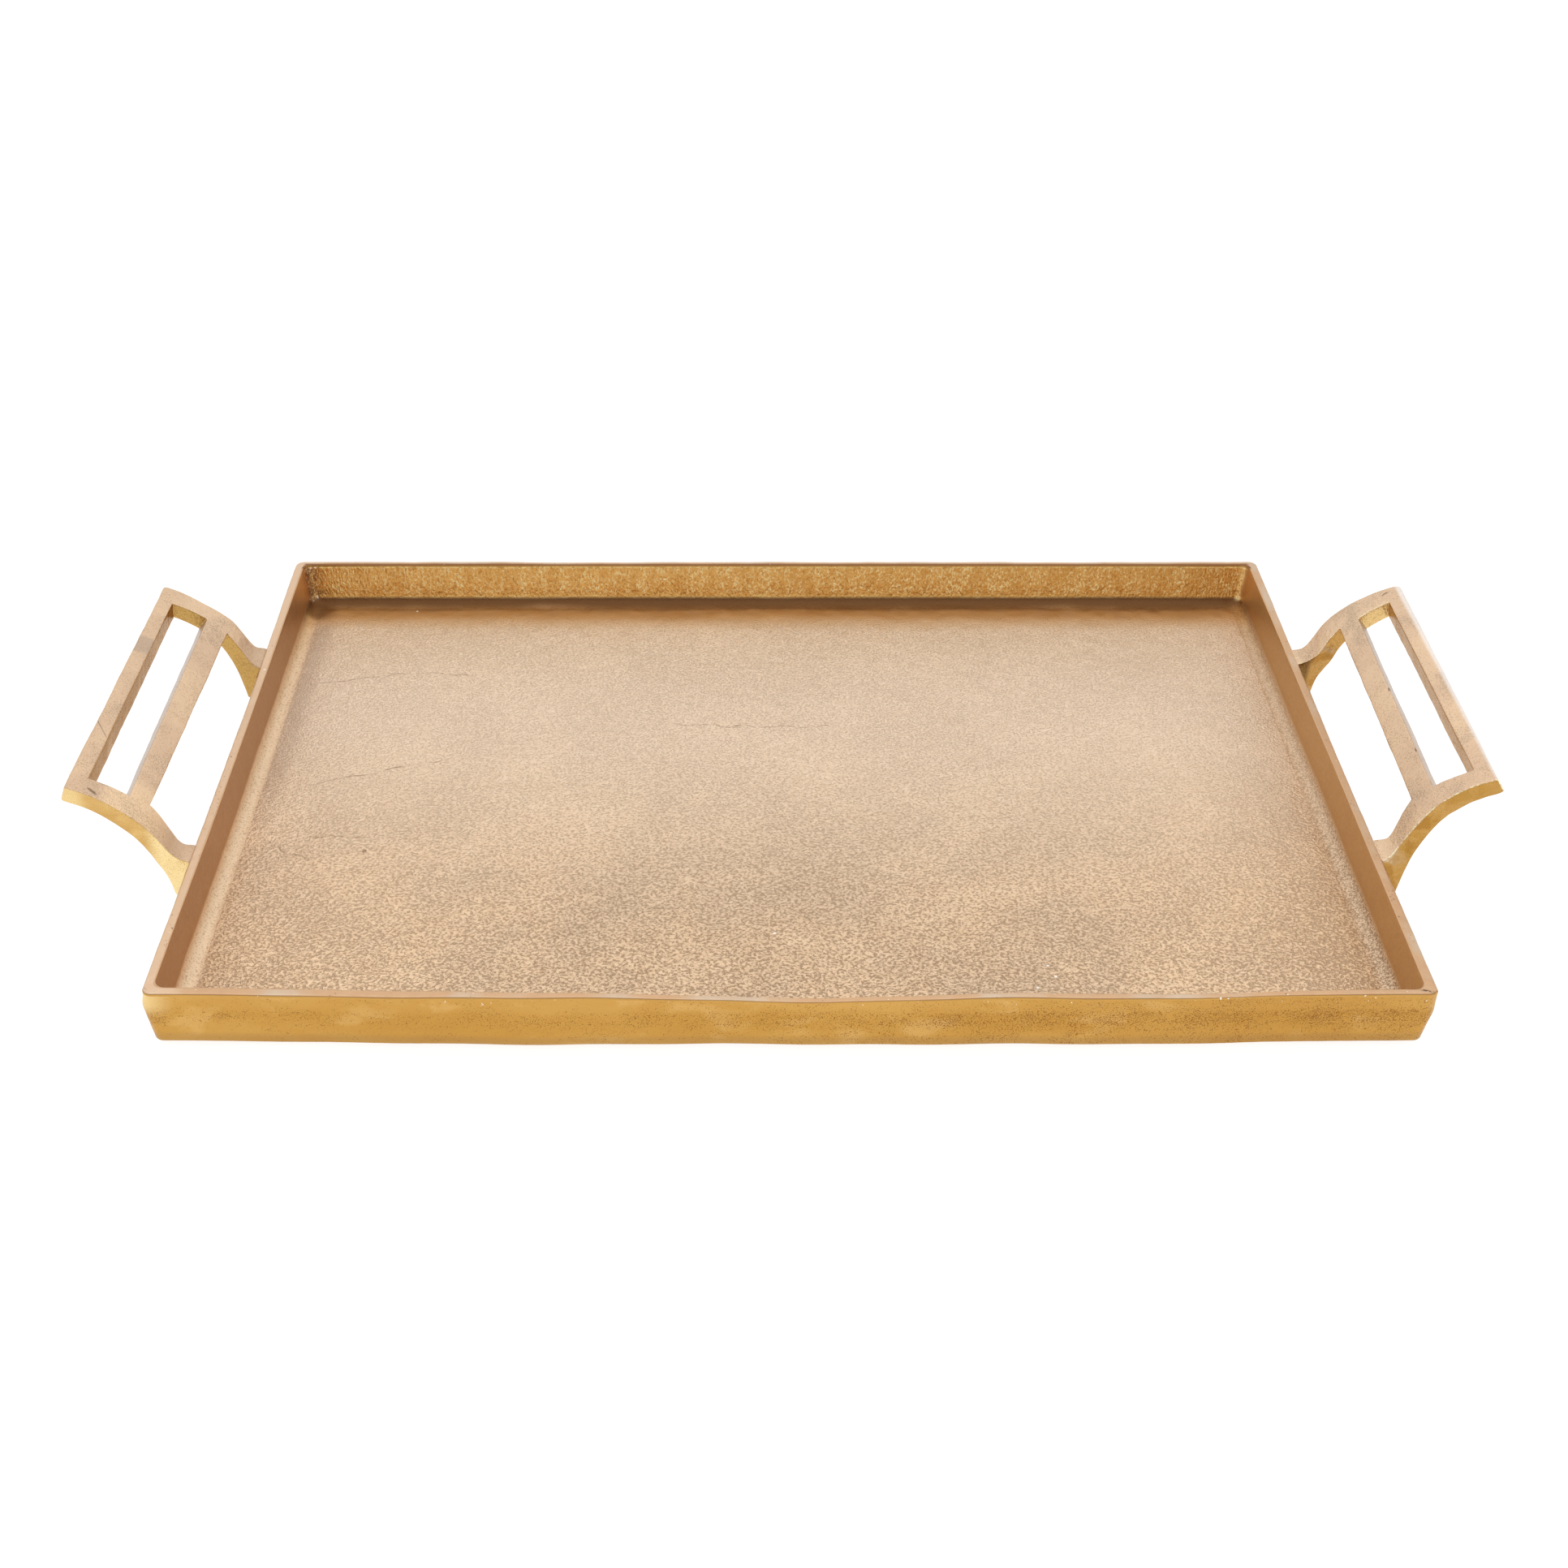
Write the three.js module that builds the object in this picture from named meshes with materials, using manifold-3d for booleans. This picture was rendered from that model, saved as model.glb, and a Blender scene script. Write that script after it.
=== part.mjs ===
// A cast serving tray: a shallow rectangular pan with a slotted strap handle brazed to each short end.
// Millimetres, +Z up. The pads stand on z = 0, and the origin is below the middle of the pan.
import * as THREE from "three";
import { mergeVertices } from "three/addons/utils/BufferGeometryUtils.js";
import Module from "manifold-3d";

// Pan, measured over its outer faces at the rim.
const PAN_LENGTH = 432;
const PAN_WIDTH = 297;
const PAN_HEIGHT = 23;
const FLOOR_THICKNESS = 4;
const RIM_THICKNESS = 3.7;
const RIM_EDGE = 0.5;
const BASE_EDGE = 1.2;
const OUTER_CORNER = 2;
const INNER_CORNER = 4;
const FLOOR_FILLET = 5;
const OUTER_DRAFT = THREE.MathUtils.degToRad(6);
const INNER_DRAFT = THREE.MathUtils.degToRad(5);

// Handle: a strap bent on an arc whose centre lies outside the pan, near the level of its base.
// Angles on the arc are measured from straight up, towards the pan.
const STRAP_THICKNESS = 6.5;
const ARC_OUTER_RADIUS = 56.5;
const ARC_INNER_RADIUS = ARC_OUTER_RADIUS - STRAP_THICKNESS;
const ARC_CENTRE_OUT = 56.5;
const ARC_CENTRE_DROP = 19.4;
const TIP_ANGLE = THREE.MathUtils.degToRad(21.4);
const SLOT_OUTER_ANGLE = THREE.MathUtils.degToRad(27.4);
const SLOT_INNER_ANGLE = THREE.MathUtils.degToRad(42);
const GAP_ANGLE = THREE.MathUtils.degToRad(51.1);
const ROOT_ANGLE = THREE.MathUtils.degToRad(65);
const HANDLE_TIP_WIDTH = 139;
const HANDLE_ROOT_WIDTH = 147;
const ROOT_FLARE_REACH = 14;
const OPENING_LENGTH = 122;
const LEG_DROP = 14.5;
const HANDLE_SHIFT = -3;

// Brazed bead round the foot of each handle arm.
const BEAD_WIDTH = 3;
const BEAD_HEIGHT = 2.4;
const BEAD_ROUND = 0.8;
const BEAD_TOP_DROP = 2;

// Pads under the pan.
const PAD_RADIUS = 9;
const PAD_THICKNESS = 1.7;
const PAD_INSET = 26;

// Clearance between touching pieces, and how far a cutting tool runs past what it cuts.
const CLEARANCE = 0.3;
const OVERRUN = 10;

const ARC_SEGMENTS = 28;
const CORNER_SEGMENTS = 4;
const FILLET_STEPS = 5;
const PAD_SEGMENTS = 32;

const BASE_Z = PAD_THICKNESS + CLEARANCE;
const RIM_Z = BASE_Z + PAN_HEIGHT;
const FLOOR_Z = BASE_Z + FLOOR_THICKNESS;
const ARC_CENTRE_Z = RIM_Z - ARC_CENTRE_DROP;
const LEG_BOTTOM_Z = RIM_Z - LEG_DROP;
const LEG_WIDTH = (HANDLE_ROOT_WIDTH - OPENING_LENGTH) / 2;

const wasm = await Module();
wasm.setup();

const brass = { metalness: 1, roughness: 0.38 };
const panMaterial = new THREE.MeshStandardMaterial({ color: 0xd8b184, ...brass });
const handleMaterial = new THREE.MeshStandardMaterial({ color: 0xd9a85c, ...brass });
const beadMaterial = new THREE.MeshStandardMaterial({ color: 0xb98a45, metalness: 1, roughness: 0.5 });
const padMaterial = new THREE.MeshStandardMaterial({ color: 0x4a3b30, metalness: 0, roughness: 0.95 });

// A closed three.js geometry as a solid that can be cut and joined.
function solidFrom(geometry) {
  const bare = geometry.clone();
  bare.deleteAttribute("normal");
  bare.deleteAttribute("uv");
  const merged = mergeVertices(bare, 1e-4);
  return new wasm.Manifold(
    new wasm.Mesh({
      numProp: 3,
      vertProperties: new Float32Array(merged.attributes.position.array),
      triVerts: new Uint32Array(merged.index.array),
    }),
  );
}

// A solid as a three.js geometry.
function geometryFrom(solid) {
  const mesh = solid.getMesh();
  const geometry = new THREE.BufferGeometry();
  geometry.setAttribute("position", new THREE.BufferAttribute(mesh.vertProperties, 3));
  geometry.setIndex(new THREE.BufferAttribute(mesh.triVerts, 1));
  geometry.computeVertexNormals();
  return geometry;
}

function namedMesh(name, geometry, material) {
  const mesh = new THREE.Mesh(geometry, material.clone());
  mesh.name = name;
  return mesh;
}

function roundedRectangle(length, width, radius) {
  const x = length / 2 - radius;
  const y = width / 2 - radius;
  const shape = new THREE.Shape();
  shape.absarc(x, y, radius, 0, Math.PI / 2);
  shape.absarc(-x, y, radius, Math.PI / 2, Math.PI);
  shape.absarc(-x, -y, radius, Math.PI, 1.5 * Math.PI);
  shape.absarc(x, -y, radius, 1.5 * Math.PI, 2 * Math.PI);
  shape.closePath();
  return shape;
}

// A rounded rectangular block whose sides step in by each level's inset at that level's height.
function leveledBlock(levels, length, width, radius) {
  const steps = levels.length - 1;
  const shape = roundedRectangle(length, width, radius);
  const geometry = new THREE.ExtrudeGeometry(shape, {
    depth: steps,
    steps,
    bevelEnabled: false,
    curveSegments: CORNER_SEGMENTS,
  });
  const position = geometry.attributes.position;
  for (let i = 0; i < position.count; i++) {
    const { inset, z } = levels[Math.round(position.getZ(i))];
    const x = position.getX(i);
    const y = position.getY(i);
    position.setXYZ(i, x - Math.sign(x) * inset, y - Math.sign(y) * inset, z);
  }
  return solidFrom(geometry);
}

const outerInset = (z) => (RIM_Z - z) * Math.tan(OUTER_DRAFT);
const innerInset = (z) => RIM_THICKNESS + (RIM_Z - z) * Math.tan(INNER_DRAFT);

function panBody() {
  const levels = [
    { inset: outerInset(BASE_Z) + BASE_EDGE, z: BASE_Z },
    { inset: outerInset(BASE_Z + BASE_EDGE), z: BASE_Z + BASE_EDGE },
    { inset: outerInset(RIM_Z - RIM_EDGE), z: RIM_Z - RIM_EDGE },
    { inset: RIM_EDGE, z: RIM_Z },
  ];
  return leveledBlock(levels, PAN_LENGTH, PAN_WIDTH, OUTER_CORNER);
}

function panCavity() {
  const filletTop = FLOOR_Z + FLOOR_FILLET;
  const levels = [];
  for (let i = 0; i <= FILLET_STEPS; i++) {
    const angle = (i / FILLET_STEPS) * (Math.PI / 2 - INNER_DRAFT);
    levels.push({
      inset: innerInset(filletTop) + FLOOR_FILLET * (1 - Math.sin(angle)),
      z: filletTop - FLOOR_FILLET * Math.cos(angle),
    });
  }
  levels.push({ inset: innerInset(RIM_Z - RIM_EDGE), z: RIM_Z - RIM_EDGE });
  levels.push({ inset: RIM_THICKNESS - RIM_EDGE, z: RIM_Z });
  levels.push({ inset: RIM_THICKNESS - RIM_EDGE, z: RIM_Z + OVERRUN });
  return leveledBlock(levels, PAN_LENGTH, PAN_WIDTH, INNER_CORNER);
}

function trayPan() {
  return namedMesh("tray_pan", geometryFrom(panBody().subtract(panCavity())), panMaterial);
}

// A point on the handle's arc: how far it is out from the rim, and its height.
function arcPoint(radius, angle) {
  const out = ARC_CENTRE_OUT - radius * Math.sin(angle);
  const z = ARC_CENTRE_Z + radius * Math.cos(angle);
  return new THREE.Vector2(out, z);
}

// A section drawn in distance out and height, drawn out along the pan's end and centred on it.
function acrossEnd(shape, width) {
  const geometry = new THREE.ExtrudeGeometry(shape, {
    depth: width,
    bevelEnabled: false,
    curveSegments: ARC_SEGMENTS,
  });
  geometry.rotateX(Math.PI / 2);
  geometry.translate(0, width / 2, 0);
  return solidFrom(geometry);
}

// The side view of an arm: up the wall, over a small root fillet, and out along the arc.
function strapSection() {
  const quarter = Math.PI / 2;
  const root = arcPoint(ARC_OUTER_RADIUS, ROOT_ANGLE);
  const bendOut = root.x - (root.y - RIM_Z) / Math.tan(ROOT_ANGLE);
  const legAngle = Math.acos((LEG_BOTTOM_Z - ARC_CENTRE_Z) / ARC_INNER_RADIUS);
  const shape = new THREE.Shape();
  shape.moveTo(CLEARANCE, RIM_Z);
  shape.lineTo(CLEARANCE + RIM_EDGE, RIM_Z);
  shape.quadraticCurveTo(bendOut, RIM_Z, root.x, root.y);
  shape.absarc(
    ARC_CENTRE_OUT, ARC_CENTRE_Z, ARC_OUTER_RADIUS, quarter + ROOT_ANGLE, quarter + TIP_ANGLE, true,
  );
  shape.absarc(
    ARC_CENTRE_OUT, ARC_CENTRE_Z, ARC_INNER_RADIUS, quarter + TIP_ANGLE, quarter + legAngle, false,
  );
  shape.lineTo(CLEARANCE - outerInset(LEG_BOTTOM_Z), LEG_BOTTOM_Z);
  shape.closePath();
  return shape;
}

// The handle seen from above: straight sides that spread a little where the arms meet the wall.
function planOutline() {
  const tip = HANDLE_TIP_WIDTH / 2;
  const root = HANDLE_ROOT_WIDTH / 2;
  const end = ARC_CENTRE_OUT;
  const shape = new THREE.Shape();
  shape.moveTo(-OVERRUN, -root);
  shape.lineTo(0, -root);
  shape.quadraticCurveTo(ROOT_FLARE_REACH / 2, -tip - 1, ROOT_FLARE_REACH * 2, -tip);
  shape.lineTo(end, -tip);
  shape.lineTo(end, tip);
  shape.lineTo(ROOT_FLARE_REACH * 2, tip);
  shape.quadraticCurveTo(ROOT_FLARE_REACH / 2, tip + 1, 0, root);
  shape.lineTo(-OVERRUN, root);
  shape.closePath();
  const height = 2 * ARC_OUTER_RADIUS;
  const geometry = new THREE.ExtrudeGeometry(shape, {
    depth: height,
    bevelEnabled: false,
    curveSegments: CORNER_SEGMENTS,
  });
  return solidFrom(geometry);
}

// The long slot between the grip bar and the middle bar, cut square to the strap.
function slotCutter() {
  const near = ARC_INNER_RADIUS - OVERRUN;
  const far = ARC_OUTER_RADIUS + OVERRUN;
  const shape = new THREE.Shape([
    arcPoint(near, SLOT_OUTER_ANGLE),
    arcPoint(far, SLOT_OUTER_ANGLE),
    arcPoint(far, SLOT_INNER_ANGLE),
    arcPoint(near, SLOT_INNER_ANGLE),
  ]);
  return acrossEnd(shape, OPENING_LENGTH);
}

// The finger gap between the middle bar and the pan, open from above the bar to below the legs.
function gapCutter() {
  const inner = arcPoint(ARC_INNER_RADIUS - OVERRUN, GAP_ANGLE);
  const outer = arcPoint(ARC_OUTER_RADIUS + OVERRUN, GAP_ANGLE);
  const shape = new THREE.Shape([
    outer,
    new THREE.Vector2(-OVERRUN, outer.y),
    new THREE.Vector2(-OVERRUN, -OVERRUN),
    new THREE.Vector2(inner.x, -OVERRUN),
    inner,
  ]);
  return acrossEnd(shape, OPENING_LENGTH);
}

function handleGeometry() {
  const strap = acrossEnd(strapSection(), HANDLE_ROOT_WIDTH).intersect(planOutline());
  return geometryFrom(strap.subtract(slotCutter()).subtract(gapCutter()));
}

// A U-shaped bead round three sides of a leg. It lies on the wall, drawn flat and then leaned back with it.
function beadGeometry() {
  const innerHalf = LEG_WIDTH / 2 + CLEARANCE + BEAD_ROUND;
  const outerHalf = innerHalf + BEAD_WIDTH - 2 * BEAD_ROUND;
  const top = -BEAD_TOP_DROP;
  const innerBottom = -LEG_DROP - CLEARANCE - BEAD_ROUND;
  const outerBottom = innerBottom - BEAD_WIDTH + 2 * BEAD_ROUND;
  const shape = new THREE.Shape();
  shape.moveTo(-outerHalf, top);
  shape.lineTo(-outerHalf, outerBottom);
  shape.lineTo(outerHalf, outerBottom);
  shape.lineTo(outerHalf, top);
  shape.lineTo(innerHalf, top);
  shape.lineTo(innerHalf, innerBottom);
  shape.lineTo(-innerHalf, innerBottom);
  shape.lineTo(-innerHalf, top);
  shape.closePath();
  const geometry = new THREE.ExtrudeGeometry(shape, {
    depth: BEAD_HEIGHT - 2 * BEAD_ROUND,
    bevelSize: BEAD_ROUND,
    bevelThickness: BEAD_ROUND,
    bevelSegments: 2,
  });
  geometry.translate(0, 0, BEAD_ROUND + CLEARANCE);
  geometry.rotateX(Math.PI / 2);
  geometry.rotateZ(Math.PI / 2);
  geometry.rotateY(OUTER_DRAFT);
  return geometryFrom(solidFrom(geometry));
}

// One end of the tray: its handle and the two beads that hold it, drawn at the +X end.
function handleAssembly(side) {
  const end = new THREE.Group();
  end.add(namedMesh("handle_" + side, handleGeometry(), handleMaterial));
  const legMiddle = (OPENING_LENGTH + LEG_WIDTH) / 2;
  const turned = side === "left";
  for (const row of ["front", "back"]) {
    const bead = namedMesh("braze_" + side + "_" + row, beadGeometry(), beadMaterial);
    const towardsFront = row === "front";
    bead.position.set(0, towardsFront === turned ? legMiddle : -legMiddle, RIM_Z);
    end.add(bead);
  }
  end.position.set(turned ? -PAN_LENGTH / 2 : PAN_LENGTH / 2, HANDLE_SHIFT, 0);
  end.rotation.z = turned ? Math.PI : 0;
  return end;
}

function footPads() {
  const pads = new THREE.Group();
  for (const [column, x] of [["left", -1], ["right", 1]]) {
    for (const [row, y] of [["front", -1], ["back", 1]]) {
      const disc = new THREE.CylinderGeometry(PAD_RADIUS, PAD_RADIUS, PAD_THICKNESS, PAD_SEGMENTS);
      const pad = namedMesh("foot_pad_" + row + "_" + column, disc, padMaterial);
      pad.rotation.x = Math.PI / 2;
      pad.position.set(
        x * (PAN_LENGTH / 2 - PAD_INSET), y * (PAN_WIDTH / 2 - PAD_INSET), PAD_THICKNESS / 2,
      );
      pads.add(pad);
    }
  }
  return pads;
}

const tray = new THREE.Group();
tray.name = "brass_tray";
tray.add(trayPan(), handleAssembly("left"), handleAssembly("right"), footPads());

export default tray;
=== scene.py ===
"""A cast brass serving tray, dressed for a product picture. Metres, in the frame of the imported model."""

import math
from dataclasses import dataclass

import bmesh
import bpy
import numpy as np
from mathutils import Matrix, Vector, noise


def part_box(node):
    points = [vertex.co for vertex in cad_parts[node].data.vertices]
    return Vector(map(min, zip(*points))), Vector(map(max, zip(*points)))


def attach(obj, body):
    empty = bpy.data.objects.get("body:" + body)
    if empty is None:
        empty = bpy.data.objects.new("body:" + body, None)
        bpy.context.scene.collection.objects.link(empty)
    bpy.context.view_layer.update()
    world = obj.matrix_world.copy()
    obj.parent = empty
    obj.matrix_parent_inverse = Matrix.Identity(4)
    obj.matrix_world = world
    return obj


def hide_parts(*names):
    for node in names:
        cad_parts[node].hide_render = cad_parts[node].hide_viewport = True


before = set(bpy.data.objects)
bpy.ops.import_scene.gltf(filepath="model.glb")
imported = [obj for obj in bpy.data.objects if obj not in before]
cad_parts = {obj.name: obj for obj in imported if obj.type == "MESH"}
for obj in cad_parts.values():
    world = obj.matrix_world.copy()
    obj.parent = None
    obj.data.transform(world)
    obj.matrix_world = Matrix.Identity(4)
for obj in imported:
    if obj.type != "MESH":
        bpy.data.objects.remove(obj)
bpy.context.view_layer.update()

MM = 0.001
SEED = 7

# ---- places read from the frame

PAN_LOW, PAN_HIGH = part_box("tray_pan")
END_X = (PAN_HIGH.x - PAN_LOW.x) / 2
BACK_Y = (PAN_HIGH.y - PAN_LOW.y) / 2
BASE_Z = PAN_LOW.z
RIM_Z = PAN_HIGH.z

# ---- pan sizes

FLOOR_THICKNESS = 4 * MM
FLOOR_Z = BASE_Z + FLOOR_THICKNESS
RIM_THICKNESS = 3.7 * MM
RIM_ROUND = 0.28 * MM
OUTER_RIM_ROUND = 0.75 * MM
BASE_ROUND = 0.8 * MM
FLOOR_FILLET = 5.5 * MM
OUTER_CORNER = 3.4 * MM
INNER_CORNER = 4 * MM
OUTER_DRAFT = math.radians(6)
INNER_DRAFT = math.radians(5)
LONG_SIDE_STEPS = 360
SHORT_SIDE_STEPS = 248
CORNER_STEPS = 5

# ---- handle sizes

ARC_OUTER = 56.5 * MM
ARC_CENTRE_OUT = 56.5 * MM
ARC_CENTRE_Z = RIM_Z - 19.4 * MM
ROOT_ANGLE = math.radians(60)
LEG_BOTTOM_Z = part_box("handle_right")[0].z
WALL_BITE = 1.4 * MM


# ---- mesh helpers

def new_object(name, vertices, faces, materials, face_materials=None):
    mesh = bpy.data.meshes.new(name)
    mesh.from_pydata([tuple(v) for v in vertices], [], [tuple(f) for f in faces])
    for material in materials:
        mesh.materials.append(material)
    if face_materials is not None:
        mesh.polygons.foreach_set("material_index", np.asarray(face_materials, np.int32))
    mesh.polygons.foreach_set("use_smooth", np.ones(len(mesh.polygons), bool))
    mesh.update()
    obj = bpy.data.objects.new(name, mesh)
    bpy.context.scene.collection.objects.link(obj)
    return obj


def coordinates(mesh):
    co = np.empty(len(mesh.vertices) * 3, np.float32)
    mesh.vertices.foreach_get("co", co)
    return co.reshape(-1, 3).astype(float)


def normals(mesh):
    values = np.empty(len(mesh.vertices) * 3, np.float32)
    mesh.vertex_normals.foreach_get("vector", values)
    return values.reshape(-1, 3).astype(float)


def set_coordinates(mesh, co):
    mesh.vertices.foreach_set("co", co.astype(np.float32).ravel())
    mesh.update()


def noise_field(points, wavelength, offset):
    """Smooth noise from -1 to 1 at each point."""
    scale = 1 / wavelength
    shift = Vector((offset * 3.7 + SEED, offset * 1.9, offset * 2.3))
    return np.array([noise.noise(Vector(p) * scale + shift) for p in points])


def smooth(values, low, high):
    """0 below low, 1 above high, eased between; low may be the larger."""
    t = np.clip((values - low) / (high - low), 0, 1)
    return t * t * (3 - 2 * t)


def bell(values, centre, width):
    return np.exp(-(((values - centre) / width) ** 2))


def cast_waviness(obj, layers):
    """Moves each vertex along its normal by a few layers of noise: (wavelength, depth or depths)."""
    co, normal = coordinates(obj.data), normals(obj.data)
    push = np.zeros(len(co))
    for k, (wavelength, depth) in enumerate(layers):
        push += depth * noise_field(co, wavelength, k + 1)
    set_coordinates(obj.data, co + normal * push[:, None])


def tube_faces(rings, around):
    """Quads that join each ring of points to the next."""
    faces = []
    for k in range(rings - 1):
        for i in range(around):
            j = (i + 1) % around
            faces.append((k * around + i, k * around + j, (k + 1) * around + j, (k + 1) * around + i))
    return faces


def face_outwards(obj):
    bm = bmesh.new()
    bm.from_mesh(obj.data)
    bmesh.ops.recalc_face_normals(bm, faces=bm.faces)
    bm.to_mesh(obj.data)
    bm.free()


def apply_modifiers(obj):
    graph = bpy.context.evaluated_depsgraph_get()
    mesh = bpy.data.meshes.new_from_object(obj.evaluated_get(graph))
    obj.modifiers.clear()
    obj.data = mesh


# ---- material helpers

def eased_step(tree, value, low, high, to_low=0.0, to_high=1.0):
    """An eased step from to_low at low to to_high at high; low may be the larger."""
    if low > high:
        low, high, to_low, to_high = high, low, to_high, to_low
    made = tree.nodes.new("ShaderNodeMapRange")
    made.interpolation_type = "SMOOTHSTEP"
    for name, limit in (("From Min", low), ("From Max", high), ("To Min", to_low), ("To Max", to_high)):
        made.inputs[name].default_value = limit
    tree.links.new(value, made.inputs["Value"])
    return made.outputs["Result"]


class Look:
    """Builds one material's nodes. Sizes are in metres and colours are linear."""

    def __init__(self, name):
        self.material = bpy.data.materials.new(name)
        self.material.use_nodes = True
        self.tree = self.material.node_tree
        self.shader = self.tree.nodes["Principled BSDF"]
        place = self.node("ShaderNodeTexCoord")
        self.place = place.outputs["Object"]
        split = self.node("ShaderNodeSeparateXYZ", Vector=self.place)
        self.x, self.y, self.z = split.outputs
        facing = self.node("ShaderNodeNewGeometry")
        split = self.node("ShaderNodeSeparateXYZ", Vector=facing.outputs["Normal"])
        self.facing_x, self.facing_y, self.facing_z = split.outputs
        self.colour = None
        self.seed = 0

    def node(self, kind, **inputs):
        made = self.tree.nodes.new(kind)
        for name, value in inputs.items():
            self.put(made.inputs[name], value)
        return made

    def put(self, socket, value):
        if isinstance(value, bpy.types.NodeSocket):
            self.tree.links.new(value, socket)
        else:
            socket.default_value = value

    def math(self, operation, a, b=0.0):
        made = self.tree.nodes.new("ShaderNodeMath")
        made.operation = operation
        self.put(made.inputs[0], a)
        self.put(made.inputs[1], b)
        return made.outputs[0]

    def chain(self, operation, values):
        result = values[0]
        for value in values[1:]:
            result = self.math(operation, result, value)
        return result

    def add(self, *values):
        return self.chain("ADD", values)

    def times(self, *values):
        return self.chain("MULTIPLY", values)

    def either(self, *values):
        return self.chain("MAXIMUM", values)

    def magnitude(self, value):
        return self.math("ABSOLUTE", value)

    def inverse(self, value):
        return self.math("SUBTRACT", 1.0, value)

    def band(self, value, low, high, to_low=0.0, to_high=1.0):
        return eased_step(self.tree, value, low, high, to_low, to_high)

    def within(self, value, low, low_full, high_full, high):
        """0 outside low to high, 1 from low_full to high_full, and eased between them."""
        return self.times(self.band(value, low, low_full), self.band(value, high, high_full))

    def on_left(self):
        """1 on the left half of the tray, 0 on the right."""
        return self.band(self.x, 10 * MM, -10 * MM)

    def nearness(self):
        """0 behind the middle, and towards 1 near the front wall."""
        return self.band(self.y, 60 * MM, -BACK_Y - 10 * MM)

    def noise(self, wavelength, detail=2.0, roughness=0.5, distortion=0.0, stretch=(1, 1, 1), turn=0.0):
        """Noise from 0 to 1 with features of about this size in millimetres, longer along an axis with
        stretch over 1."""
        self.seed += 1
        moved = self.node("ShaderNodeMapping", Vector=self.place)
        moved.inputs["Location"].default_value = (self.seed * 5.3, self.seed * 2.1, self.seed * 3.7)
        moved.inputs["Scale"].default_value = [1 / (wavelength * MM * s) for s in stretch]
        moved.inputs["Rotation"].default_value = (turn, turn * 0.6, turn)
        settings = {"Scale": 1.0, "Detail": detail, "Roughness": roughness, "Distortion": distortion}
        return self.node("ShaderNodeTexNoise", Vector=moved.outputs["Vector"], **settings).outputs["Fac"]

    def blend(self, amount, a, b):
        made = self.tree.nodes.new("ShaderNodeMix")
        made.data_type = "RGBA"
        self.put(made.inputs[0], amount)
        for socket, value in ((made.inputs[6], a), (made.inputs[7], b)):
            self.put(socket, value if isinstance(value, bpy.types.NodeSocket) else (*value, 1))
        return made.outputs[2]

    def paint(self, amount, colour, strength=1.0):
        """Lays a colour over what the material has so far."""
        if strength != 1.0:
            amount = self.times(amount, strength)
        self.colour = self.blend(amount, self.colour, colour)

    def mix(self, amount, a, b):
        made = self.tree.nodes.new("ShaderNodeMix")
        self.put(made.inputs[0], amount)
        self.put(made.inputs[2], a)
        self.put(made.inputs[3], b)
        return made.outputs[0]

    def bump(self, height, depth):
        """Adds a relief whose height runs from 0 to depth millimetres."""
        made = self.tree.nodes.new("ShaderNodeBump")
        made.inputs["Distance"].default_value = depth * MM
        self.put(made.inputs["Height"], height)
        if self.shader.inputs["Normal"].links:
            self.tree.links.new(self.shader.inputs["Normal"].links[0].from_socket, made.inputs["Normal"])
        self.tree.links.new(made.outputs["Normal"], self.shader.inputs["Normal"])

    def line(self, start, end, width, wander=None, fade=3):
        """1 on a line between two places seen from above, 0 away from it; wander bends it. Millimetres."""
        start, end, width, fade = Vector(start) * MM, Vector(end) * MM, width * MM, fade * MM
        along = (end - start).normalized()
        length = (end - start).length
        dx = self.add(self.x, -start[0])
        dy = self.add(self.y, -start[1])
        forward = self.add(self.times(dx, along.x), self.times(dy, along.y))
        aside = self.add(self.times(dx, -along.y), self.times(dy, along.x))
        if wander:
            aside = self.add(aside, self.times(self.add(wander, -0.5), 12 * MM))
        near = self.band(self.magnitude(aside), width, 0)
        inside = self.within(forward, -fade, fade, length - fade, length + fade)
        return self.times(near, inside)

    def spot(self, centre, radius):
        """1 at a place seen from above, fading to 0 this far from it. Millimetres."""
        radius = radius * MM
        dx = self.add(self.x, -centre[0] * MM)
        dy = self.add(self.y, -centre[1] * MM)
        squared = self.add(self.times(dx, dx), self.times(dy, dy))
        return self.band(self.math("SQRT", squared), radius, radius * 0.4)

    def finish(self, roughness, metallic=1.0, coat=0.0):
        self.put(self.shader.inputs["Base Color"], self.colour)
        self.put(self.shader.inputs["Roughness"], roughness)
        self.shader.inputs["Metallic"].default_value = metallic
        self.shader.inputs["Coat Weight"].default_value = coat
        self.shader.inputs["Coat Roughness"].default_value = 0.3
        return self.material


# ---- the brass

TAN = (0.775, 0.562, 0.37)
PALE_TAN = (0.84, 0.625, 0.42)
GREY_TAN = (0.64, 0.49, 0.355)
PIT_BROWN = (0.19, 0.095, 0.036)
GOLD = (0.74, 0.43, 0.11)
DEEP_GOLD = (0.66, 0.345, 0.075)
PALE_GOLD = (0.80, 0.52, 0.20)
WALL_GOLD = (0.93, 0.64, 0.25)
BROWN = (0.30, 0.18, 0.08)
RIM_TAN = (0.625, 0.395, 0.225)
BAR_REFLECTION_GREY = (0.60, 0.52, 0.46)
SPARKLE_HIGHLIGHT = (1.0, 0.89, 0.52)
GLOWING_GOLD = (0.85, 0.545, 0.19)
FOOT_SHADE = (0.16, 0.075, 0.03)
DULL_TAN = (0.55, 0.38, 0.25)


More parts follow.
